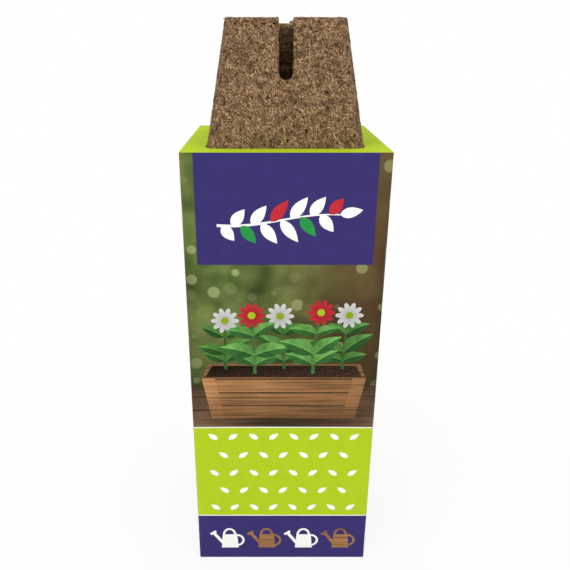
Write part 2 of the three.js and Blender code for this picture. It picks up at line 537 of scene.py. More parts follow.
@dataclass
class PotStack:
    """The twelve nested pots, the top one standing out of the sleeve."""

    frame: dict[str, Any]
    sleeve_top: float

    # The top pot has fibres from a little inside the sleeve, a nested one all over
    felt_overlap: float = 2 * MM
    below_all: float = -1.0
    top_name: str = "pot_01"
    slot: str = "wood_fibre"
    shown: FeltGrade = FeltGrade(
        voxel_mm=0.95,
        fibre_length_mm=2.1,
        fibre_radius_mm=0.09,
        fibres_per_cm2=26.0,
        lift_degrees=5.0,
    )
    nested: FeltGrade = FeltGrade(
        voxel_mm=1.5,
        fibre_length_mm=2.2,
        fibre_radius_mm=0.1,
        fibres_per_cm2=12.0,
        lift_degrees=0.0,
    )

    def build(self) -> list[Object]:
        """Build every pot.

        Returns:
            One object for each pot, riding on its body.
        """
        felt = FeltTree().build(MouldedFibre().build(), LooseFibre().build())
        names = sorted(name for name in self.frame["nodes"] if name.startswith("pot_"))
        lowest = self.sleeve_top - self.felt_overlap
        meshes = {self.top_name: self._felted(felt, self.top_name, self.shown, lowest)}
        model, *others = [name for name in names if name != self.top_name]
        meshes[model] = self._felted(felt, model, self.nested, self.below_all)
        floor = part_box(model)[0][2]
        for turns, name in enumerate(others, start=1):
            mesh = meshes[model].copy()
            mesh.transform(Matrix.Rotation(math.radians(90 * turns), 4, "Z"))
            mesh.transform(Matrix.Translation((0, 0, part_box(name)[0][2] - floor)))
            meshes[name] = mesh
        pots = []
        for name in names:
            pot = link_object(f"{name}_felt", meshes[name])
            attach(pot, name)
            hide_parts(name)
            pots.append(pot)
        return pots

    def _felted(self, felt: NodeTree, node: str, grade: FeltGrade, lowest: float) -> Mesh:
        """Turn a pot's plain solid into a felted one.

        Args:
            felt: The tree that roughens a wall and lays fibres.
            node: The pot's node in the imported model.
            grade: How closely to draw it.
            lowest: The height above which fibres are laid.

        Returns:
            The finished mesh, in place.
        """
        plain = self.frame["nodes"][node].data.copy()
        work = bmesh.new()
        work.from_mesh(plain)
        bmesh.ops.remove_doubles(work, verts=work.verts, dist=WELD)
        work.to_mesh(plain)
        work.free()
        plain.materials.clear()
        obj = link_object(f"{node}_plain", plain)
        mould = link_object(f"{node}_mould", plain.copy())
        press = obj.modifiers.new("press", "REMESH")
        press.mode = "VOXEL"
        press.voxel_size = grade.voxel_mm * MM
        obj.modifiers.new("true_edges", "SHRINKWRAP").target = mould
        modifier = obj.modifiers.new("felt", "NODES")
        modifier.node_group = felt
        values = grade.inputs(lowest)
        for item in felt.interface.items_tree:
            if item.in_out == "INPUT" and item.name in values:
                modifier[item.identifier] = values[item.name]
        graph = bpy.context.evaluated_depsgraph_get()
        mesh = bpy.data.meshes.new_from_object(obj.evaluated_get(graph))
        mesh.name = f"{node}_felt"
        bpy.data.objects.remove(obj)
        bpy.data.objects.remove(mould)
        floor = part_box(node)[0][2]
        for vertex in mesh.vertices:
            vertex.co.z = max(vertex.co.z, floor)
        return mesh


@dataclass(frozen=True)
class CardInk:
    """Offset ink under satin varnish on coated folding card."""

    # The eye gets an even colour with a faint mottle, a soft sheen, and white board where a fold
    # has rubbed. The board's grain is too fine to show, so it is drawn coarser.
    name: str
    colour: str
    mottle: str
    mottle_mm: float = 6.0
    board_white: str = "#EDEBE4"
    grain_mm: float = 0.7
    grain_depth_mm: float = 0.05
    grain_relief: float = 0.06
    roughness: float = 0.65
    roughness_spread: float = 0.05
    ior: float = 1.47
    specular: float = 0.05
    fold_rub_mm: tuple[float, float] = (0.8, 0.2)
    foot_rub_mm: float = 0.9
    rub_mm: float = 9.0
    rub_band: tuple[float, float] = (0.5, 0.8)
    rub_most: float = 0.28

    def build(self, half: float) -> Material:
        """Build the material.

        Args:
            half: Half the sleeve's width, where its upright folds are.

        Returns:
            The material.
        """
        material, tree = new_material(self.name)
        place = add(tree, "ShaderNodeTexCoord").outputs["Object"]
        shade = add(tree, "ShaderNodeAttribute", attribute_name=CardSheet.SHADE).outputs["Fac"]
        picture = {0: self._picture(tree, place), "Scale": shade}
        colour = add(tree, "ShaderNodeVectorMath", picture, operation="SCALE")
        texture = {"Vector": place, "Scale": 1 / (self.grain_mm * MM), "Detail": 2.0}
        grain = add(tree, "ShaderNodeTexNoise", texture)
        depth_mm = self.grain_depth_mm
        rough = {"Height": grain, "Strength": self.grain_relief, "Distance": depth_mm * MM}
        least, most = (self.roughness + sign * self.roughness_spread for sign in (-1, 1))
        satin = {"Value": grain, "To Min": least, "To Max": most}
        surface = {
            "Base Color": self._rubbed(tree, place, colour, half),
            "Roughness": add(tree, "ShaderNodeMapRange", satin),
            "IOR": self.ior,
            "Specular IOR Level": self.specular,
            "Normal": add(tree, "ShaderNodeBump", rough),
        }
        return finished(material, surface)

    def _picture(self, tree: NodeTree, place: NodeSocket) -> Node:
        """Draw what is printed.

        Args:
            tree: The material's tree.
            place: Object coordinates.

        Returns:
            The node that gives the printed colour.
        """
        texture = {"Vector": place, "Scale": 1 / (self.mottle_mm * MM), "Detail": 4.0}
        cloud = add(tree, "ShaderNodeTexNoise", texture)
        return coat(tree, linear(self.colour), self.mottle, cloud, NOISE_SPAN)

    def _rubbed(self, tree: NodeTree, place: NodeSocket, colour: Node, half: float) -> Node:
        """Let the board show where the folds and the lower edge have rubbed.

        Args:
            tree: The material's tree.
            place: Object coordinates.
            colour: The node that gives the printed colour.
            half: Half the sleeve's width.

        Returns:
            The node that gives the worn colour.
        """
        x, y, z = add(tree, "ShaderNodeSeparateXYZ", {0: place}).outputs
        sides = [add(tree, "ShaderNodeMath", {0: axis}, operation="ABSOLUTE") for axis in (x, y)]
        corner = add(tree, "ShaderNodeMath", {0: sides[0], 1: sides[1]}, operation="MINIMUM")
        start, full = (half - rub * MM for rub in self.fold_rub_mm)
        ramp = {"Value": corner, "From Min": start, "From Max": full}
        fold = add(tree, "ShaderNodeMapRange", ramp)
        low = {"Value": z, "From Min": self.foot_rub_mm * MM, "From Max": 0.0}
        foot = add(tree, "ShaderNodeMapRange", low)
        edge = add(tree, "ShaderNodeMath", {0: fold, 1: foot}, operation="MAXIMUM")
        texture = {"Vector": place, "Scale": 1 / (self.rub_mm * MM), "Detail": 8.0}
        patch = add(tree, "ShaderNodeTexNoise", texture)
        start, full = self.rub_band
        ramp = {"Value": patch, "From Min": start, "From Max": full, "To Max": self.rub_most}
        share = add(tree, "ShaderNodeMapRange", ramp)
        wear = add(tree, "ShaderNodeMath", {0: edge, 1: share}, operation="MULTIPLY")
        worn = {0: wear, 6: colour, 7: linear(self.board_white)}
        return add(tree, "ShaderNodeMix", worn, data_type="RGBA")


@dataclass(frozen=True)
class FoliagePrint(CardInk):
    """A printed picture of leaves far out of focus, with discs of light between them."""

    # The eye gets a dim garden behind what is sharp, green to the left and brown to the right
    deep: str = "#2C3B1C"
    warm: str = "#553A28"
    light: str = "#B7BF82"
    gloom_mm: float = 26.0
    gloom_band: tuple[float, float] = (0.5, 0.68)
    warm_mm: tuple[float, float] = (-24.0, 40.0)
    warm_most: float = 0.85
    disc_mm: float = 9.0
    disc_scatter: float = 0.7
    disc_edge: tuple[float, float] = (0.34, 0.26)
    disc_chance: tuple[float, float] = (0.55, 0.95)
    disc_most: float = 0.45

    def _picture(self, tree: NodeTree, place: NodeSocket) -> Node:
        """Draw blurred leaves and light.

        Args:
            tree: The material's tree.
            place: Object coordinates.

        Returns:
            The node that gives the printed colour.
        """
        leaves = super()._picture(tree, place)
        texture = {"Vector": place, "Scale": 1 / (self.gloom_mm * MM), "Detail": 2.0}
        gloom = add(tree, "ShaderNodeTexNoise", texture)
        leaves = coat(tree, leaves, self.deep, gloom, self.gloom_band)
        across = add(tree, "ShaderNodeSeparateXYZ", {0: place}).outputs["X"]
        start, full = (x * MM for x in self.warm_mm)
        leaves = coat(tree, leaves, self.warm, across, (start, full), self.warm_most, "SMOOTHSTEP")
        scatter = {"Scale": 1 / (self.disc_mm * MM), "Randomness": self.disc_scatter}
        discs = add(tree, "ShaderNodeTexVoronoi", {"Vector": place, **scatter}).outputs
        rim, full = self.disc_edge
        span = {"From Min": rim, "From Max": full, "To Max": self.disc_most}
        ramp = {"Value": discs["Distance"], **span}
        glow = add(tree, "ShaderNodeMapRange", ramp, interpolation_type="SMOOTHSTEP")
        chance = add(tree, "ShaderNodeSeparateColor", {0: discs["Color"]})
        start, full = self.disc_chance
        ramp = {"Value": chance, "From Min": start, "From Max": full}
        some = add(tree, "ShaderNodeMapRange", ramp)
        glow = add(tree, "ShaderNodeMath", {0: glow, 1: some}, operation="MULTIPLY")
        lit = {0: glow, 6: leaves, 7: linear(self.light)}
        return add(tree, "ShaderNodeMix", lit, data_type="RGBA")


@dataclass(frozen=True)
class PlankPrint(CardInk):
    """A printed picture of a planed softwood board, its grain along the board."""

    # The eye gets a brown board with dark lines, drawn coarser than real grain so that they show
    grain: str = "#4A3626"
    grain_length_mm: float = 38.0
    grain_width_mm: float = 1.1
    grain_band: tuple[float, float] = (0.45, 0.7)
    grain_most: float = 0.8

    def _picture(self, tree: NodeTree, place: NodeSocket) -> Node:
        """Draw the board and its grain.

        Args:
            tree: The material's tree.
            place: Object coordinates.

        Returns:
            The node that gives the printed colour.
        """
        wood = super()._picture(tree, place)
        long, wide = 1 / (self.grain_length_mm * MM), 1 / (self.grain_width_mm * MM)
        drawn = add(tree, "ShaderNodeMapping", {"Vector": place, "Scale": (long, long, wide)})
        lines = add(tree, "ShaderNodeTexNoise", {"Vector": drawn, "Scale": 1.0, "Detail": 3.0})
        return coat(tree, wood, self.grain, lines, self.grain_band, self.grain_most)


@dataclass(frozen=True)
class BareBoard:
    """The uncoated back and cut edge of folding card."""

    # The eye gets a dull grey-white with fine specks of recycled fibre, and no shine
    name: str
    colour: str
    speck: str
    speck_mm: float = 0.8
    speck_band: tuple[float, float] = (0.55, 0.75)
    speck_most: float = 0.7
    relief_mm: float = 0.1
    relief: float = 0.15
    roughness: float = 0.85
    specular: float = 0.25

    def build(self) -> Material:
        """Build the material.

        Returns:
            The material.
        """
        material, tree = new_material(self.name)
        place = add(tree, "ShaderNodeTexCoord").outputs["Object"]
        texture = {"Vector": place, "Scale": 1 / (self.speck_mm * MM), "Detail": 4.0}
        dust = add(tree, "ShaderNodeTexNoise", texture)
        board = linear(self.colour)
        rough = {"Height": dust, "Strength": self.relief, "Distance": self.relief_mm * MM}
        surface = {
            "Base Color": coat(tree, board, self.speck, dust, self.speck_band, self.speck_most),
            "Roughness": self.roughness,
            "Specular IOR Level": self.specular,
            "Normal": add(tree, "ShaderNodeBump", rough),
        }
        return finished(material, surface)


class Ink(Enum):
    """What a patch of the card shows."""

    INDIGO = "indigo_ink"
    LIME = "lime_ink"
    WHITE = "white_coating"
    GREEN = "green_ink"
    RED = "red_ink"
    FOLIAGE = "foliage_print"
    PLANK = "plank_print"
    BOX = "box_print"
    SOIL = "soil_print"
    LEAF = "leaf_print"
    LEAF_SHADE = "leaf_shade_print"
    INSIDE = "board_back"
    EDGE = "board_edge"


@dataclass(frozen=True)
class Patch:
    """A printed shape on the flat card, over what is printed before it."""

    outline: Outline
    ink: Ink
    light: Light | None = None


def rectangle(left: float, bottom: float, right: float, top: float) -> Outline:
    """Return the outline of a rectangle from its four sides."""
    return ((left, bottom), (right, bottom), (right, top), (left, top))


def trapezium(x: float, low: Point, high: Point) -> Outline:
    """Draw a shape with a level foot and top, the same on its left and right.

    Args:
        x: Its middle.
        low: The width and height of its lower edge.
        high: The width and height of its upper edge.

    Returns:
        Its outline.
    """
    (foot, bottom), (mouth, top) = (low[0] / 2, low[1]), (high[0] / 2, high[1])
    return ((x - foot, bottom), (x + foot, bottom), (x + mouth, top), (x - mouth, top))


def turned(outline: Outline, angle: float, root: Point) -> Outline:
    """Turn an outline about the origin, then move it.

    Args:
        outline: The points, drawn about the origin.
        angle: The turn, in degrees.
        root: Where the origin goes.

    Returns:
        The moved points.
    """
    c, s = math.cos(math.radians(angle)), math.sin(math.radians(angle))
    return tuple((root[0] + c * x - s * y, root[1] + s * x + c * y) for x, y in outline)


def leaf(length: float, width: float, root: Point, angle: float, droop: float = 0.0) -> Outline:
    """Draw a pointed leaf.

    Args:
        length: From root to tip.
        width: At its widest.
        root: Where it grows from.
        angle: The way it points at its root, in degrees from the card's right.
        droop: How far its tip bends to the left of that way, as a share of its length.

    Returns:
        Its outline, along one side to the tip and back along the other.
    """
    steps = 8
    ups = [i / steps for i in range(steps + 1)]
    bulge = [0.5 * width * math.sin(math.pi * t**0.8) ** 0.9 if 0 < t < 1 else 0.0 for t in ups]
    middle = [droop * length * t * t for t in ups]
    right = [(t * length, m - b) for t, m, b in zip(ups, middle, bulge)]
    left = [(t * length, m + b) for t, m, b in zip(ups, middle, bulge)]
    return turned(right + left[-2:0:-1], angle, root)


def ribbon(points: Outline, width: float, taper: float = 0.6) -> Outline:
    """Draw a line that narrows to its far end.

    Args:
        points: The line's middle.
        width: Its width at the start.
        taper: The share of that width that is lost on the way.

    Returns:
        Its outline.
    """
    left, right = [], []
    for i, (x, y) in enumerate(points):
        ahead = points[min(i + 1, len(points) - 1)]
        behind = points[max(i - 1, 0)]
        way = Vector((ahead[0] - behind[0], ahead[1] - behind[1])).normalized()
        reach = 0.5 * width * (1 - taper * i / (len(points) - 1))
        left.append((x - way.y * reach, y + way.x * reach))
        right.append((x + way.y * reach, y - way.x * reach))
    return tuple(left[::-1] + right)


def oval(
    centre: Point, width: float, height: float, first: float = 0.0, last: float = 360.0
) -> Outline:
    """Draw an oval or a stretch of one.

    Args:
        centre: Its middle.
        width: Its full width.
        height: Its full height.
        first: Where it starts, in degrees from the card's right.
        last: Where it ends.

    Returns:
        Points along it.
    """
    least_steps, step_degrees = 8, 15
    steps = max(least_steps, round(abs(last - first) / step_degrees))
    stop = steps if abs(last - first) >= 360 else steps + 1
    angles = [math.radians(first + (last - first) * i / steps) for i in range(stop)]
    reach, rise = 0.5 * width, 0.5 * height
    return tuple((centre[0] + reach * math.cos(a), centre[1] + rise * math.sin(a)) for a in angles)


@dataclass(frozen=True)
class TroughPicture:
    """A wooden trough of soil, pictured from in front and a little above, lit from the left."""

    mouth: float = 74.0
    foot: float = 66.0
    back: float = 68.0
    height: float = 21.0
    depth: float = 7.5
    boards: int = 3
    gap: float = 0.5
    rim: float = 1.8
    post: float = 6.0

    # Light of the rim, of the front's middle, its fall across, at its foot and its rise for each mm
    rim_light: float = 0.6
    front_light: float = 0.95
    front_fall: float = 0.4
    foot_light: float = 0.55
    foot_rise: float = 0.03

    # How much lighter the posts are than the boards
    post_light: float = 1.2

    # Light of the soil's middle, its rise across and its fall for each mm to the back
    soil_light: float = 0.8
    soil_rise: float = 0.5
    soil_fall: float = 0.06

    def patches(self, x: float, z: float) -> list[Patch]:
        """Draw a trough that stands at x, z.

        Args:
            x: Across the wall, at its middle.
            z: Height of its foot.

        Returns:
            Its rim, soil, boards and end posts, in the order of printing.
        """
        top = z + self.height
        far = top + self.depth

        def on_front(u: float, v: float) -> float:
            """Return the front's light, brighter to the left and dim at the foot."""
            across = self.front_light - self.front_fall * (u - x) / self.mouth
            return across * min(1.0, self.foot_light + self.foot_rise * (v - z))

        def on_soil(u: float, v: float) -> float:
            """Return the soil's light, dim at the left and the back."""
            across = self.soil_light + self.soil_rise * (u - x) / self.mouth
            return across - self.soil_fall * (v - top)

        near_soil = (self.mouth - 2 * self.rim, top + 0.5 * self.rim)
        far_soil = (self.back - 2 * self.rim, far - 0.5 * self.rim)
        rim = trapezium(x, (self.mouth, top), (self.back, far))
        out = [
            Patch(rim, Ink.BOX, lambda u, v: self.rim_light),
            Patch(trapezium(x, near_soil, far_soil), Ink.SOIL, on_soil),
            Patch(trapezium(x, (self.foot, z), (self.mouth, top)), Ink.SOIL),
        ]
        step = self.height / self.boards
        for board in range(self.boards):
            low, high = step * board, step * (board + 1) - self.gap
            ends = [(self._across(rise), z + rise) for rise in (low, high)]
            out.append(Patch(trapezium(x, *ends), Ink.BOX, on_front))
        half = self.post / 2
        for side in (-1, 1):
            foot, mouth = (x + side * (size - self.post) / 2 for size in (self.foot, self.mouth))
            post = ((foot - half, z), (foot + half, z), (mouth + half, top), (mouth - half, top))
            out.append(Patch(post, Ink.BOX, lambda u, v: self.post_light * on_front(u, v)))
        return out

    def _across(self, rise: float) -> float:
        """Return how wide the front is at a height above the foot."""
        return self.foot + (self.mouth - self.foot) * rise / self.height


@dataclass(frozen=True)
class DaisyPicture:
    """A flower head with a ring of petals round a yellow-green eye."""

    ink: Ink
    width: float = 12.0
    petals: int = 10
    eye: float = 0.28

    # Shares of the flower's width
    petal_middle: float = 0.3
    petal_length: float = 0.42
    petal_width: float = 0.19

    # Light of a petal at its root, its rise to the tip and to the flower's top, and the eye's light
    root_light: float = 0.55
    tip_rise: float = 0.4
    top_rise: float = 0.1
    eye_light: float = 0.85

    def patches(self, x: float, z: float, light: float) -> list[Patch]:
        """Draw a flower head at x, z.

        Args:
            x: Across the wall, at its middle.
            z: Height of its middle.
            light: How light it is.

        Returns:
            Its petals and its eye.
        """

        def lit(u: float, v: float) -> float:
            """Return a petal's light, which grows outwards and upwards."""
            away, up = 2 * math.dist((u, v), (x, z)) / self.width, (v - z) / self.width
            return light * (self.root_light + self.tip_rise * away + self.top_rise * up)

        length, width = self.petal_length * self.width, self.petal_width * self.width
        petal = oval((self.petal_middle * self.width, 0.0), length, width)
        out = []
        for turn in range(self.petals):
            angle = 360.0 * turn / self.petals
            out.append(Patch(turned(petal, angle, (x, z)), self.ink, lit))
        eye = self.eye * self.width
        out.append(Patch(oval((x, z), eye, eye), Ink.LIME, lambda u, v: self.eye_light * light))
        return out


@dataclass(frozen=True)
class PlantPicture:
    """A young plant with three pairs of drooping leaves."""

    size: float = 1.0
    light: float = 1.0
    heights: tuple[float, float] = (25.0, 31.0)
    lean: float = 3.0
    stem_steps: int = 6
    stem_width: float = 1.6
    stem_light: float = 1.2

    # Each pair's step up the stem, and its leaves' length
    pairs: tuple[tuple[int, float], ...] = ((1, 12.0), (2, 15.0), (4, 11.0))
    lengths: tuple[float, float] = (0.88, 1.12)
    spread: tuple[float, float] = (40.0, 66.0)

    # Shares of a leaf's length
    leaf_width: float = 0.5
    leaf_droop: float = 0.22
    midrib: float = 0.06
    vein: float = 0.03

    # Light of a leaf at its root, its rise to the tip, and how much lighter the veins are
    root_light: float = 0.55
    tip_rise: float = 0.65
    vein_light: float = 1.3

    def patches(
        self, x: float, z: float, daisy: DaisyPicture, chance: random.Random
    ) -> list[Patch]:
        """Draw a plant that grows at x, z.

        Args:
            x: Across the wall.
            z: Height of the soil.
            daisy: The flower at its top.
            chance: Where its sizes are drawn from.

        Returns:
            Its stem, leaves and flower.
        """
        tall = self.size * chance.uniform(*self.heights)
        lean = self.size * chance.uniform(-self.lean, self.lean)
        ups = [step / self.stem_steps for step in range(self.stem_steps + 1)]
        stem = [(x + lean * up**2, z + tall * up) for up in ups]
        line = ribbon(stem, self.stem_width * self.size)
        out = [Patch(line, Ink.LEAF_SHADE, lambda u, v: self.stem_light * self.light)]
        for step, long in self.pairs:
            for side in (-1, 1):
                length = self.size * long * chance.uniform(*self.lengths)
                angle = 90 - side * chance.uniform(*self.spread)
                out += self._leaf(stem[step], length, angle, side)
        return out + daisy.patches(*stem[-1], self.light)

    def _leaf(self, root: Point, length: float, angle: float, side: int) -> list[Patch]:
        """Draw one drooping leaf, its lower half in shade.

        Args:
            root: Where it grows from.
            length: From root to tip.
            angle: The way it points at its root, in degrees.
            side: -1 for a leaf on the left, 1 on the right.

        Returns:
            The leaf, its shaded half and its veins.
        """

        def lit(u: float, v: float) -> float:
            """Return the leaf's light, which grows towards its tip."""
            away = math.dist((u, v), root) / length
            return self.light * (self.root_light + self.tip_rise * away)

        def veined(u: float, v: float) -> float:
            """Return the light of the leaf's veins."""
            return self.vein_light * lit(u, v)

        edge = leaf(length, self.leaf_width * length, root, angle, -self.leaf_droop * side)
        tip = len(edge) // 2
        right, left = edge[: tip + 1], (edge[0], *edge[: tip - 1 : -1])
        middle = [((a + c) / 2, (b + d) / 2) for (a, b), (c, d) in zip(right, left)]
        lower = (*right, *middle[-2:0:-1]) if side > 0 else (*middle, *left[-2:0:-1])
        out = [Patch(edge, Ink.LEAF, lit), Patch(lower, Ink.LEAF_SHADE, lit)]
        for rim in (right, left):
            ink = Ink.LEAF_SHADE if rim is (right if side > 0 else left) else Ink.LEAF
            for i in range(1, tip - 2, 2):
                vein = ribbon((middle[i], rim[i + 2]), self.vein * length)
                out.append(Patch(vein, ink, veined))
        out.append(Patch(ribbon(middle, self.midrib * length), Ink.LEAF, veined))
        return out


@dataclass(frozen=True)
class PlantRow:
    """One row of flowering plants in the pictured trough."""

    plant: PlantPicture
    daisy: DaisyPicture
    places: tuple[float, ...]
    setback: float


@dataclass(frozen=True)
class BenchPicture:
    """A wooden trough of flowers on a potting bench, with a garden behind."""

    reach: float
    bottom: float
    top: float
    seed: int
    bench_depth: float = 22.3
    plank_edges: tuple[float, ...] = (9.5, 17.0)
    plank_gap: float = 0.4
    underlap: float = 1.0
    trough: TroughPicture = TroughPicture()
    trough_foot: float = 5.0

    # Light of the garden at the bench, its rise for each mm and its most
    garden_light: float = 0.45
    garden_rise: float = 0.0125
    garden_most: float = 1.2

    # How much light the bench loses towards its back
    bench_fall: float = 0.6

    # The shadow's middle from the trough's foot, its size and rings, and the light that it leaves
    shadow_shift: Point = (5.0, -0.5)
    shadow_width: float = 84.0
    shadow_height: float = 25.2
    shadow_rings: tuple[float, ...] = (1.0, 0.8, 0.6, 0.3)
    shadow_light: float = 0.25

    # The far row is smaller and dimmer
    rows: tuple[PlantRow, ...] = (
        PlantRow(PlantPicture(0.9, 0.7), DaisyPicture(Ink.WHITE), (-26.0, 0.0, 26.0), 5.0),
        PlantRow(PlantPicture(), DaisyPicture(Ink.RED), (-13.0, 13.0), 2.5),
    )

    @property
    def horizon(self) -> float:
        """Return the height of the bench's far edge."""
        return self.bottom + self.bench_depth

    def patches(self) -> list[Patch]:
        """Draw the garden, the bench, the trough and its flowers.

        Returns:
            Every printed patch, in the order of printing.
        """
        garden = rectangle(-self.reach, self.horizon, self.reach, self.top)
        out = [Patch(garden, Ink.FOLIAGE, self._garden_light)]
        out += self._bench()
        foot = self.bottom + self.trough_foot
        out += self._shadow(foot)
        out += self.trough.patches(0.0, foot)
        chance = random.Random(self.seed)
        for row in self.rows:
            soil = foot + self.trough.height + row.setback
            for x in row.places:
                out += row.plant.patches(x, soil, row.daisy, chance)
        return out

    def _garden_light(self, _: float, v: float) -> float:
        """Return how light the garden behind the bench is, dim near the bench."""
        light = self.garden_light + self.garden_rise * (v - self.horizon)
        return min(self.garden_most, light)

    def _bench_light(self, _: float, v: float) -> float:
        """Return how light the bench is, dimmer towards its back."""
        return 1.0 - self.bench_fall * (v - self.bottom) / self.bench_depth

    def _bench(self) -> list[Patch]:
        """Draw the bench's planks, with dark gaps between them.

        Returns:
            The gaps' dark ground and then the planks.
        """
        edges = [self.bottom + edge for edge in (-self.underlap, *self.plank_edges)]
        levels = [*edges, self.horizon]
        out = [Patch(rectangle(-self.reach, levels[0], self.reach, levels[-1]), Ink.SOIL)]
        for low, high in zip(levels, levels[1:]):
            plank = rectangle(-self.reach, low, self.reach, high - self.plank_gap)
            out.append(Patch(plank, Ink.PLANK, self._bench_light))
        return out

    def _shadow(self, foot: float) -> list[Patch]:
        """Draw the trough's soft shadow on the bench.

        Args:
            foot: Height of the trough's foot.

        Returns:
            Rings that darken inwards.
        """
        x, z = self.shadow_shift[0], foot + self.shadow_shift[1]
        width, height = self.shadow_width, self.shadow_height
        least = self.shadow_light

        def light(u: float, v: float) -> float:
            """Return the bench's light in the shadow, least in the middle."""
            away = min(1.0, math.hypot(2 * (u - x) / width, 2 * (v - z) / height))
            return self._bench_light(u, v) * (least + (1 - least) * away**2)

        sizes = ((width * ring, height * ring) for ring in self.shadow_rings)
        return [Patch(oval((x, z), *size), Ink.PLANK, light) for size in sizes]


@dataclass(frozen=True)
class Sprig:
    """A white stem with white leaves, a few of them green or red."""

    start: int = -28
    stop: int = 23
    step: int = 2
    stem_width: float = 1.2
    wave: float = 2.4
    wave_shift: float = 2.0
    wave_length: float = 13.0
    leaf_length: float = 12.0
    leaf_width: float = 4.8
    leaf_angle: float = 52.0
    leaf_taper: float = 0.35
    middle: float = -3.0
    reach: float = 25.0
    end_length: float = 9.5
    end_width: float = 4.4
    end_angle: float = 12.0

    def patches(self, height: float) -> list[Patch]:
        """Draw the sprig.

        Args:
            height: The height that its stem waves about.

        Returns:
            Its stem and leaves.
        """
        across = range(self.start, self.stop, self.step)
        waves = (math.sin((x + self.wave_shift) / self.wave_length) for x in across)
        stem = [(x, height + self.wave * wave) for x, wave in zip(across, waves)]
        out = [Patch(ribbon(stem, self.stem_width), Ink.WHITE)]
        for i, root in enumerate(stem[1:-1:2]):
            away = self.leaf_taper * abs(root[0] - self.middle) / self.reach
            length = self.leaf_length * (1 - away)
            angle = self.leaf_angle if i % 2 else -self.leaf_angle
            ink = {2: Ink.GREEN, 5: Ink.RED}.get(i % 6, Ink.WHITE)
            out.append(Patch(leaf(length, self.leaf_width, root, angle), ink))
        end = leaf(self.end_length, self.end_width, stem[-1], self.end_angle)
        out.append(Patch(end, Ink.WHITE))
        return out


@dataclass(frozen=True)
class SeedRows:
    """Rows of white seeds that lean to and fro."""

    rows: int = 5
    columns: int = 8
    left: float = -33.0
    pitch: float = 9.5
    margin: float = 6.0
    length: float = 5.2
    width: float = 2.5
    leans: tuple[float, float] = (145.0, 35.0)

    def patches(self, low: float, high: float, half: float) -> list[Patch]:
        """Fill a band with seeds.

        Args:
            low: The band's lower edge.
            high: Its upper edge.
            half: Half its width.

        Returns:
            One patch for each seed.
        """
        out = []
        step = (high - low) / self.rows
        for row in range(self.rows):
            z = low + step * (row + 0.5)
            shift = self.pitch / 2 if row % 2 else 0.0
            for column in range(self.columns):
                x = self.left + self.pitch * column - shift
                if abs(x) < half - self.margin:
                    angle = self.leans[(column + row) % 2]
                    way, reach = math.radians(angle), self.length / 2
                    root = (x - reach * math.cos(way), z - reach * math.sin(way))
                    out.append(Patch(leaf(self.length, self.width, root, angle), Ink.WHITE))
        return out


@dataclass(frozen=True)
class CanRow:
    """A row of watering cans, white and brown in turn."""

    count: int = 4
    pitch: float = 18.6
    bottom: float = 6.4
    aside: float = 1.6
    foot: float = 8.6
    mouth: float = 7.2
    height: float = 8.6

    # From its root on the body to its end, and the rose across that end
    spout: tuple[Point, Point] = ((-2.6, 1.8), (-8.2, 9.6))
    spout_width: float = 1.6
    rose: tuple[Point, Point] = ((-9.7, 8.6), (-6.9, 10.6))
    rose_width: float = 1.3

    # Behind the body and over its mouth: the bow's middle, width, height and ends
    grips: tuple[tuple[Point, float, float, float, float], ...] = (
        ((3.4, 4.9), 6.8, 6.6, 100.0, -80.0),
        ((-0.2, 8.2), 5.8, 7.6, 180.0, 0.0),
    )
    grip_width: float = 1.1

    def patches(self) -> list[Patch]:
        """Draw the row.

        Returns:
            Each can's grips, spout, rose and body.
        """
        shapes = [ribbon(oval(*grip), self.grip_width, 0.0) for grip in self.grips]
        shapes.append(ribbon(self.spout, self.spout_width, 0.0))
        shapes.append(ribbon(self.rose, self.rose_width, 0.0))
        shapes.append(trapezium(0.0, (self.foot, 0.0), (self.mouth, self.height)))
        out = []
        for i in range(self.count):
            x = self.pitch * (i - (self.count - 1) / 2) + self.aside
            ink = Ink.BOX if i % 2 else Ink.WHITE
            out += [Patch(turned(shape, 0.0, (x, self.bottom)), ink) for shape in shapes]
        return out


@dataclass(frozen=True)
class WrapArt:
    """What is printed on one wall of the sleeve."""

    half: float
    height: float
    seed: int
    strip_top: float = 27.2
    lime_top: float = 79.0
    block_bottom: float = 159.6
    block_margin: float = 5.4
    sprig_drop: float = 4.0
    rule: float = 0.5
    bleed: float = 1.0

    def patches(self) -> list[Patch]:
        """Lay out the wall's print.

        Returns:
            Every printed patch, in the order of printing.
        """
        reach, top = self.half + self.bleed, self.height + self.bleed
        block = self.half - self.block_margin
        line = self.rule / 2
        out = BenchPicture(reach, self.lime_top, top, self.seed).patches()
        out.append(Patch(rectangle(-block, self.block_bottom, block, top), Ink.INDIGO))
        out += Sprig().patches((self.block_bottom + self.height) / 2 - self.sprig_drop)
        out.append(Patch(rectangle(-reach, self.strip_top, reach, self.lime_top), Ink.LIME))
        out += SeedRows().patches(self.strip_top, self.lime_top, self.half)
        for z in (self.strip_top, self.lime_top):
            out.append(Patch(rectangle(-reach, z - line, reach, z + line), Ink.WHITE))
        out.append(Patch(rectangle(-reach, -self.bleed, reach, self.strip_top - line), Ink.INDIGO))
        out += CanRow().patches()
        return out


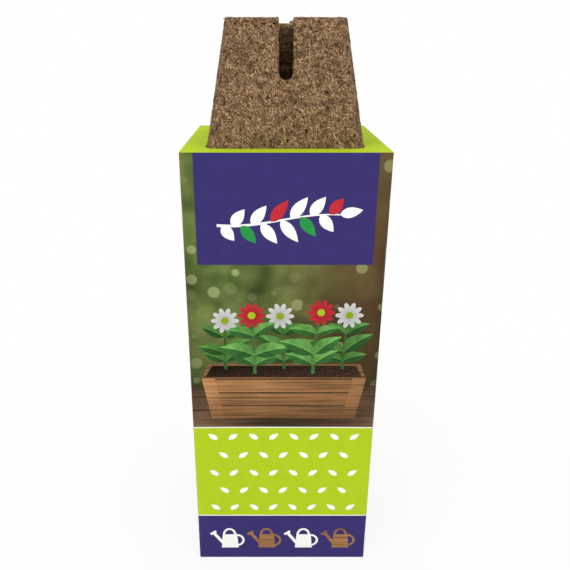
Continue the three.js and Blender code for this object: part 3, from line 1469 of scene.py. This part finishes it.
@dataclass
class CardSheet:
    """A flat piece of card, printed, then bent to its place.

    The flat outline is in millimetres. placing gives the printed face's place and way, in metres.
    """

    SHADE: ClassVar[str] = "print_shade"
    MERGE_MM: ClassVar[float] = 1e-4

    name: str
    outline: Outline
    placing: Placing
    ground: Ink
    board: float
    patches: list[Patch] = field(default_factory=list)
    cuts: list[Outline] = field(default_factory=list)
    upright_creases: list[float] = field(default_factory=list)
    level_creases: list[float] = field(default_factory=list)
    step: float = 6.0
    edge: Ink = Ink.EDGE

    def build(self, inks: dict[Ink, Material]) -> Object:
        """Build the bent card.

        Args:
            inks: The material of each ink.

        Returns:
            A closed object with a printed face, a bare back and cut edges.
        """
        points, faces, owners = self._divide()
        shown = sorted({patch.ink for patch in owners}, key=lambda ink: ink.value)
        used = [Ink.INSIDE, self.edge, *(ink for ink in shown if ink is not self.edge)]
        work = bmesh.new()
        shade = work.loops.layers.float.new(self.SHADE)
        outer, inner = [], []
        for u, v in points:
            spot, way = self.placing(u, v)
            outer.append(work.verts.new(spot))
            inner.append(work.verts.new(spot - way * self.board))
        sides: dict[tuple[int, int], None] = {}
        for corners, patch in zip(faces, owners):
            front = work.faces.new([outer[i] for i in corners])
            front.material_index = used.index(patch.ink)
            for loop, i in zip(front.loops, corners):
                loop[shade] = patch.light(*points[i]) if patch.light else 1.0
            back = work.faces.new([inner[i] for i in reversed(corners)])
            back.material_index = used.index(Ink.INSIDE)
            front.smooth = back.smooth = True
            sides.update(dict.fromkeys(zip(corners, corners[1:] + corners[:1])))
        for a, b in sides:
            if (b, a) not in sides:
                rim = work.faces.new([outer[b], outer[a], inner[a], inner[b]])
                rim.material_index = used.index(self.edge)
                for loop in rim.loops:
                    loop[shade] = 1.0
                for edge in rim.edges:
                    edge.smooth = False
        for vert in [v for v in work.verts if not v.link_faces]:
            work.verts.remove(vert)
        bmesh.ops.remove_doubles(work, verts=work.verts, dist=WELD)
        mesh = bpy.data.meshes.new(self.name)
        work.to_mesh(mesh)
        work.free()
        for ink in used:
            mesh.materials.append(inks[ink])
        return link_object(self.name, mesh)

    def _divide(self) -> tuple[list[Point], list[list[int]], list[Patch]]:
        """Divide the flat card along its print, cuts and creases.

        Returns:
            The points, the faces, and the patch that shows on each face.
        """
        spots: list[Point] = []
        lines: list[tuple[int, int]] = []
        shapes: list[list[int]] = []
        for outline in [self.outline, *self.cuts, *(patch.outline for patch in self.patches)]:
            shapes.append(list(range(len(spots), len(spots) + len(outline))))
            spots.extend(outline)
        low = [min(axis) for axis in zip(*self.outline)]
        high = [max(axis) for axis in zip(*self.outline)]
        grid = []
        for a, b in zip(low, high):
            count = max(1, round((b - a) / self.step))
            grid.append([a + (b - a) * i / count for i in range(1, count)])
        spots.extend((u, v) for u in grid[0] for v in grid[1])
        creases = [((u, low[1]), (u, high[1])) for u in self.upright_creases]
        creases += [((low[0], v), (high[0], v)) for v in self.level_creases]
        for ends in creases:
            lines.append((len(spots), len(spots) + 1))
            spots.extend(ends)
        points, _, faces, _, _, origin = delaunay_2d_cdt(
            [Vector(spot) for spot in spots], lines, shapes, 0, self.MERGE_MM
        )
        first_print = 1 + len(self.cuts)
        bare = Patch(self.outline, self.ground)
        kept, owners = [], []
        for corners, sources in zip(faces, origin):
            if 0 in sources and not any(1 <= s < first_print for s in sources):
                top = max(sources)
                kept.append(list(corners))
                owners.append(self.patches[top - first_print] if top >= first_print else bare)
        return [(p.x, p.y) for p in points], kept, owners


class Wall(Enum):
    """A wall of the sleeve, by its turn about the upright axis from the front, in degrees."""

    FRONT = 0
    RIGHT = 90
    BACK = 180
    LEFT = 270


@dataclass
class CardSleeve:
    """The printed sleeve: four walls, a top with an opening, and the flaps that hold them."""

    # The top panel's points this far inside its edge are the opening's
    RIM: ClassVar[float] = 3 * MM

    half: float
    height: float
    board: float
    collar: float
    flap_bottom: float
    seam_width: float
    shoulder_tip: float
    fold: float = 0.8 * MM
    creases: int = 4
    bow: float = 0.35 * MM
    stiff_top: float = 18 * MM
    collar_radius: float = 5.3 * MM
    collar_step: int = 15
    tab_gap_mm: float = 0.2
    top_flap_gap_mm: float = 0.5
    top_flap_bevel_mm: float = 6.0
    seam_gap_mm: float = 0.6
    seam_lift_mm: float = 0.4
    seam_drop_mm: float = 2.0
    seam_bevel_mm: float = 5.0
    shoulder_gap_mm: float = 1.0
    shoulder_bevel_mm: float = 4.0
    first_seed: int = 3
    body: str = "sleeve"

    @classmethod
    def from_frame(cls, frame: dict[str, Any]) -> "CardSleeve":
        """Read the sleeve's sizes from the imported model.


        Returns:
            The sleeve, not yet built.
        """
        low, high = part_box("front_panel")
        seam_low, seam_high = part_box("side_seam_flap")
        inside = high[0] - cls.RIM
        reaches = [abs(vertex.co.x) for vertex in frame["nodes"]["top_panel"].data.vertices]
        return cls(
            half=high[0],
            height=high[2],
            board=high[1] - low[1],
            collar=max(reach for reach in reaches if reach < inside),
            flap_bottom=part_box("top_glue_flap")[0][2],
            seam_width=seam_high[0] - seam_low[0],
            shoulder_tip=abs(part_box("right_shoulder_flap")[0][0]),
        )

    def build(self) -> list[Object]:
        """Build the sleeve.

        Returns:
            Its panels and flaps, riding on the sleeve's body.
        """
        inks = self._inks()
        sheets = [
            (self._wall("printed_front", Wall.FRONT), "front_panel", "printed_card"),
            (self._wall("printed_right", Wall.RIGHT), "right_panel", "printed_card"),
            (self._wall("printed_back", Wall.BACK), "back_panel", "printed_card"),
            (self._wall("printed_left", Wall.LEFT), "left_panel", "printed_card"),
            (self._top(), "top_panel", "lime_card"),
            (self._top_flap(), "top_glue_flap", "bare_card"),
            (self._seam_flap(), "side_seam_flap", "bare_card"),
            (self._shoulder("left_shoulder", -1), "left_shoulder_flap", "bare_card"),
            (self._shoulder("right_shoulder", 1), "right_shoulder_flap", "bare_card"),
        ]
        pieces = []
        for sheet, node, slot in sheets:
            piece = sheet.build(inks)
            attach(piece, self.body)
            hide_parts(node)
            pieces.append(piece)
        return pieces

    def _inks(self) -> dict[Ink, Material]:
        """Build every ink of the sleeve, and its bare board.

        Returns:
            The material of each ink.
        """
        printed = {
            Ink.INDIGO: (CardInk, "#3D3571", "#39316A"),
            Ink.LIME: (CardInk, "#B4CD26", "#AFC822"),
            Ink.WHITE: (CardInk, "#FBFBF8", "#F5F4F0"),
            Ink.GREEN: (CardInk, "#2F9A4C", "#2A9046"),
            Ink.RED: (CardInk, "#C8323A", "#BE2C34"),
            Ink.FOLIAGE: (FoliagePrint, "#4A5C2C", "#7C8A4C", 12.0),
            Ink.PLANK: (PlankPrint, "#6E543E", "#80654C", 14.0),
            Ink.BOX: (PlankPrint, "#9C6E46", "#AE7F54", 14.0),
            Ink.SOIL: (CardInk, "#21150E", "#513C2E", 0.8),
            Ink.LEAF: (CardInk, "#4F8A3C", "#74AC5A", 5.0),
            Ink.LEAF_SHADE: (CardInk, "#2E5C2A", "#3E7036", 5.0),
        }
        inks = {
            ink: finish(ink.value, *look).build(self.half)
            for ink, (finish, *look) in printed.items()
        }
        inks[Ink.INSIDE] = BareBoard(Ink.INSIDE.value, "#CFCBBF", "#A8A294").build()
        inks[Ink.EDGE] = BareBoard(Ink.EDGE.value, "#E6E2D8", "#C9C3B4").build()
        return inks

    def _bends(self) -> tuple[float, list[float]]:
        """Return the flat length of a fold and how far into it each crease lies, in millimetres."""
        quarter = 0.5 * math.pi * self.fold / MM
        return quarter, [quarter * i / self.creases for i in range(self.creases)]

    def _on_wall(self, wall: Wall, top: float, curled: bool, depth: float = 0.0) -> Placing:
        """Describe how flat card lies on a wall.

        Args:
            wall: Which wall.
            top: Height of the wall's upper edge.
            curled: Whether the card bends inwards at that edge.
            depth: How far inside the sleeve's outer face it lies.

        Returns:
            A function from a flat point, in millimetres, to its place and the way it looks.
        """
        turn = Matrix.Rotation(math.radians(wall.value), 3, "Z")
        straight = self.half - self.fold
        radius = self.fold - depth
        calm = top - self.stiff_top

        def placing(u_mm: float, v_mm: float) -> tuple[Vector, Vector]:
            """Bow the wall a little and bend it round its folds.

            Args:
                u_mm: Across the flat card.
                v_mm: Up the flat card.

            Returns:
                The point's place and the way it looks.
            """
            u, v = u_mm * MM, v_mm * MM
            bend = max(0.0, abs(u) - straight) / self.fold
            way = Vector((math.copysign(math.sin(bend), u), -math.cos(bend), 0.0))
            x = math.copysign(min(abs(u), straight), u)
            spot = Vector((x, -straight, 0.0)) + way * radius
            if v < calm and abs(u) < straight:
                spot.y += self.bow * (1 - (u / straight) ** 2) * math.sin(math.pi * v / calm) ** 2
            if curled and v > top - self.fold:
                lean = (v - top + self.fold) / self.fold
                spot -= way * radius * (1 - math.cos(lean))
                spot.z = top - self.fold + radius * math.sin(lean)
                way = way * math.cos(lean) + Vector((0, 0, math.sin(lean)))
            else:
                spot.z = v
            return turn @ spot, turn @ way

        return placing

    def _wall(self, name: str, wall: Wall) -> CardSheet:
        """Lay out one wall.

        Args:
            name: The piece's name.
            wall: Which wall.

        Returns:
            The wall as flat card and its place.
        """
        side = wall in (Wall.LEFT, Wall.RIGHT)
        curled = wall is not Wall.FRONT
        top = self.height - (self.board if side else 0.0)
        straight = (self.half - self.fold) / MM
        quarter, bends = self._bends()
        reach = straight if side else straight + quarter
        end = top / MM
        if curled:
            end = end - self.fold / MM + quarter
        upright = [] if side else [sign * (straight + bend) for bend in bends for sign in (-1, 1)]
        art = WrapArt(self.half / MM, self.height / MM, wall.value + self.first_seed)
        return CardSheet(
            name=name,
            outline=rectangle(-reach, 0.0, reach, end),
            placing=self._on_wall(wall, top, curled),
            ground=Ink.FOLIAGE,
            board=self.board,
            patches=art.patches(),
            upright_creases=upright,
            level_creases=[end - quarter + bend for bend in bends] if curled else [],
            edge=Ink.LIME if wall is Wall.FRONT else Ink.EDGE,
        )

    def _top(self) -> CardSheet:
        """Lay out the top, which bends down behind the front wall.

        Returns:
            The top as flat card and its place.
        """
        half, fold = self.half / MM, self.fold / MM
        inner = half - self.board / MM
        tab, start, back = inner - self.tab_gap_mm, fold - inner, half - fold
        quarter, bends = self._bends()
        front = start - quarter
        left_edge = ((-half, back), (-half, start), (-tab, start), (-tab, front))
        right_edge = tuple((-u, v) for u, v in reversed(left_edge))

        def placing(u_mm: float, v_mm: float) -> tuple[Vector, Vector]:
            """Bend the top down at its front.

            Args:
                u_mm: Across the flat card.
                v_mm: Back along the flat card.

            Returns:
                The point's place and the way it looks.
            """
            lean = max(0.0, start - v_mm) / fold
            way = Vector((0.0, -math.sin(lean), math.cos(lean)))
            axis = Vector((u_mm * MM, max(v_mm, start) * MM, self.height - self.fold))
            return axis + way * self.fold, way

        return CardSheet(
            name="lime_top",
            outline=left_edge + right_edge,
            placing=placing,
            ground=Ink.LIME,
            board=self.board,
            cuts=[self._opening()],
            level_creases=[start - bend for bend in bends],
        )

    def _opening(self) -> Outline:
        """Draw the rounded square opening in the top.

        Returns:
            Its outline.
        """
        radius = self.collar_radius / MM
        centre = self.collar / MM - radius
        points = []
        for corner, (x, y) in enumerate(((1, 1), (-1, 1), (-1, -1), (1, -1))):
            for turn in range(0, 91, self.collar_step):
                angle = math.radians(90 * corner + turn)
                across, along = radius * math.cos(angle), radius * math.sin(angle)
                points.append((x * centre + across, y * centre + along))
        return tuple(points)

    def _top_flap(self) -> CardSheet:
        """Lay out the flap that hangs from the top behind the front wall.

        Returns:
            The flap as flat card and its place.
        """
        root = (self.half - self.board) / MM - self.top_flap_gap_mm
        tip = root - self.top_flap_bevel_mm
        top, low = (self.height - self.fold) / MM, self.flap_bottom / MM
        return CardSheet(
            name="top_flap",
            outline=((-tip, low), (tip, low), (root, top), (-root, top)),
            placing=self._on_wall(Wall.FRONT, self.height, False, self.board),
            ground=Ink.LIME,
            board=self.board,
        )

    def _seam_flap(self) -> CardSheet:
        """Lay out the flap inside the back wall that the sleeve is glued by.

        Returns:
            The flap as flat card and its place.
        """
        right = (self.half - self.board) / MM - self.seam_gap_mm
        left = right - self.seam_width / MM
        top = (self.height - 2 * self.board) / MM - self.seam_drop_mm
        bevel = self.seam_bevel_mm
        return CardSheet(
            name="seam_flap",
            outline=((left, bevel), (right, self.seam_lift_mm), (right, top), (left, top - bevel)),
            placing=self._on_wall(Wall.BACK, self.height, False, self.board),
            ground=Ink.WHITE,
            board=self.board,
        )

    def _shoulder(self, name: str, side: int) -> CardSheet:
        """Lay out a flap that lies under the top, from a side wall's upper fold.

        Args:
            name: The piece's name.
            side: -1 for the left wall, 1 for the right.

        Returns:
            The flap as flat card and its place.
        """
        root, tip = (self.half - self.fold) / MM, self.shoulder_tip / MM
        end = (self.half - 2 * self.board) / MM - self.shoulder_gap_mm
        narrow = end - self.shoulder_bevel_mm
        outline = ((tip, -narrow), (root, -end), (root, end), (tip, narrow))
        if side < 0:
            outline = tuple((-x, y) for x, y in reversed(outline))
        level = self.height - self.board

        def placing(u_mm: float, v_mm: float) -> tuple[Vector, Vector]:
            """Return a point's place flat under the top, and its way up."""
            return Vector((u_mm * MM, v_mm * MM, level)), Vector((0.0, 0.0, 1.0))

        return CardSheet(name, outline, placing, ground=Ink.WHITE, board=self.board)


@dataclass(frozen=True)
class Lamp:
    """A soft square lamp, its power in watts."""

    name: str
    place: tuple[float, float, float]
    power: float
    size: float = 2.7

    def hang(self, aim: Vector) -> None:
        """Hang the lamp.

        Args:
            aim: The point that it is aimed at.
        """
        data = bpy.data.lights.new(self.name, "AREA")
        data.size = self.size
        data.energy = self.power
        lamp = bpy.data.objects.new(self.name, data)
        lamp.location = self.place
        lamp.rotation_euler = (aim - Vector(self.place)).to_track_quat("-Z", "Y").to_euler()
        bpy.context.scene.collection.objects.link(lamp)


@dataclass
class Studio:
    """The camera of the photograph, soft light, a pale floor and a white background."""

    height: float
    half: float
    focal_px: float = 609.1
    frame_px: float = 570.0
    centre_px: float = 267.8
    pitch_degrees: float = 21.74
    camera_left_mm: float = 7.2
    camera_ahead_mm: float = 239.15
    camera_above_mm: float = 39.9
    sensor_mm: float = 36.0
    near_clip: float = 0.01
    floor_half: float = 4.0
    floor_grey: float = 0.85
    shadow_reach: tuple[float, float] = (0.04, 0.26)
    shadow_white: float = 0.86
    room_light: float = 0.45
    lamps: tuple[Lamp, ...] = (
        Lamp("key", (-2.4, -2.4, 2.05), 67.0),
        Lamp("fill", (2.85, -2.1, 1.3), 39.5),
        Lamp("overhead", (0.0, 0.45, 3.4), 54.0),
    )

    def build(self) -> None:
        """Build the camera, the lamps, the floor and the world."""
        self._camera()
        for lamp in self.lamps:
            lamp.hang(Vector((0.0, 0.0, 0.5 * self.height)))
        self._floor()
        self._world()
        bpy.context.scene.view_settings.view_transform = "Standard"

    def _camera(self) -> None:
        """Stand the camera where the photograph was taken from."""
        data = bpy.data.cameras.new("photo_camera")
        data.sensor_fit = "HORIZONTAL"
        data.sensor_width = self.sensor_mm
        data.lens = self.sensor_mm * self.focal_px / self.frame_px
        data.shift_x = (self.frame_px / 2 - self.centre_px) / self.frame_px
        data.clip_start = self.near_clip
        camera = bpy.data.objects.new("photo_camera", data)
        camera.location = (
            -self.camera_left_mm * MM,
            -self.half - self.camera_ahead_mm * MM,
            self.height + self.camera_above_mm * MM,
        )
        camera.rotation_euler = (math.radians(90 - self.pitch_degrees), 0.0, 0.0)
        bpy.context.scene.collection.objects.link(camera)
        bpy.context.scene.camera = camera

    def _background_rays(self, tree: NodeTree) -> Node:
        """Tell the rays that show the background from the rays that light the object.

        Args:
            tree: The floor's or the world's tree.

        Returns:
            The node that gives 1 for a camera, glossy or transmitted ray, and otherwise 0.
        """
        path = add(tree, "ShaderNodeLightPath").outputs
        seen = path["Is Camera Ray"]
        for kind in ("Is Glossy Ray", "Is Transmission Ray"):
            seen = add(tree, "ShaderNodeMath", {0: seen, 1: path[kind]}, operation="MAXIMUM")
        return seen

    def _floor(self) -> None:
        """Lay a pale floor that keeps a faint shadow."""
        work = bmesh.new()
        bmesh.ops.create_grid(work, x_segments=2, y_segments=2, size=self.floor_half)
        mesh = bpy.data.meshes.new("floor")
        work.to_mesh(mesh)
        work.free()
        # Matt paper: the eye gets white ground with a faint shadow near the pack
        material, tree = new_material("pale_floor")
        grey = self.floor_grey
        matt = add(tree, "ShaderNodeBsdfDiffuse", {"Color": (grey, grey, grey, 1.0)})
        glow = add(tree, "ShaderNodeEmission", {"Color": WHITE, "Strength": 1.0})
        place = add(tree, "ShaderNodeTexCoord").outputs["Object"]
        away = add(tree, "ShaderNodeVectorMath", {0: place}, operation="LENGTH")
        near, far = self.shadow_reach
        ramp = {"Value": away, "From Min": near, "From Max": far, "To Min": self.shadow_white}
        white = add(tree, "ShaderNodeMapRange", ramp, interpolation_type="SMOOTHSTEP")
        seen = {0: self._background_rays(tree), 1: white}
        share = add(tree, "ShaderNodeMath", seen, operation="MULTIPLY")
        mixed = add(tree, "ShaderNodeMixShader", {0: share, 1: matt, 2: glow})
        add(tree, "ShaderNodeOutputMaterial", {"Surface": mixed})
        mesh.materials.append(material)
        link_object("floor", mesh)

    def _world(self) -> None:
        """Light the room evenly, and show it white."""
        world = bpy.data.worlds.new("white_room")
        world.use_nodes = True
        tree = world.node_tree
        tree.nodes.clear()
        ramp = {"Value": self._background_rays(tree), "To Min": self.room_light, "To Max": 1.0}
        strength = add(tree, "ShaderNodeMapRange", ramp)
        glow = add(tree, "ShaderNodeBackground", {"Color": WHITE, "Strength": strength})
        add(tree, "ShaderNodeOutputWorld", {"Surface": glow})
        bpy.context.scene.world = world


def main() -> None:
    """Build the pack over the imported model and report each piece."""
    logging.basicConfig(level=logging.INFO, format="%(name)s: %(message)s")
    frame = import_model()
    sleeve = CardSleeve.from_frame(frame)
    Studio(height=sleeve.height, half=sleeve.half).build()
    pieces = PotStack(frame, sleeve_top=sleeve.height).build() + sleeve.build()
    for piece in pieces:
        LOG.info("%s: %d faces", piece.name, len(piece.data.polygons))


if __name__ == "__main__":
    main()
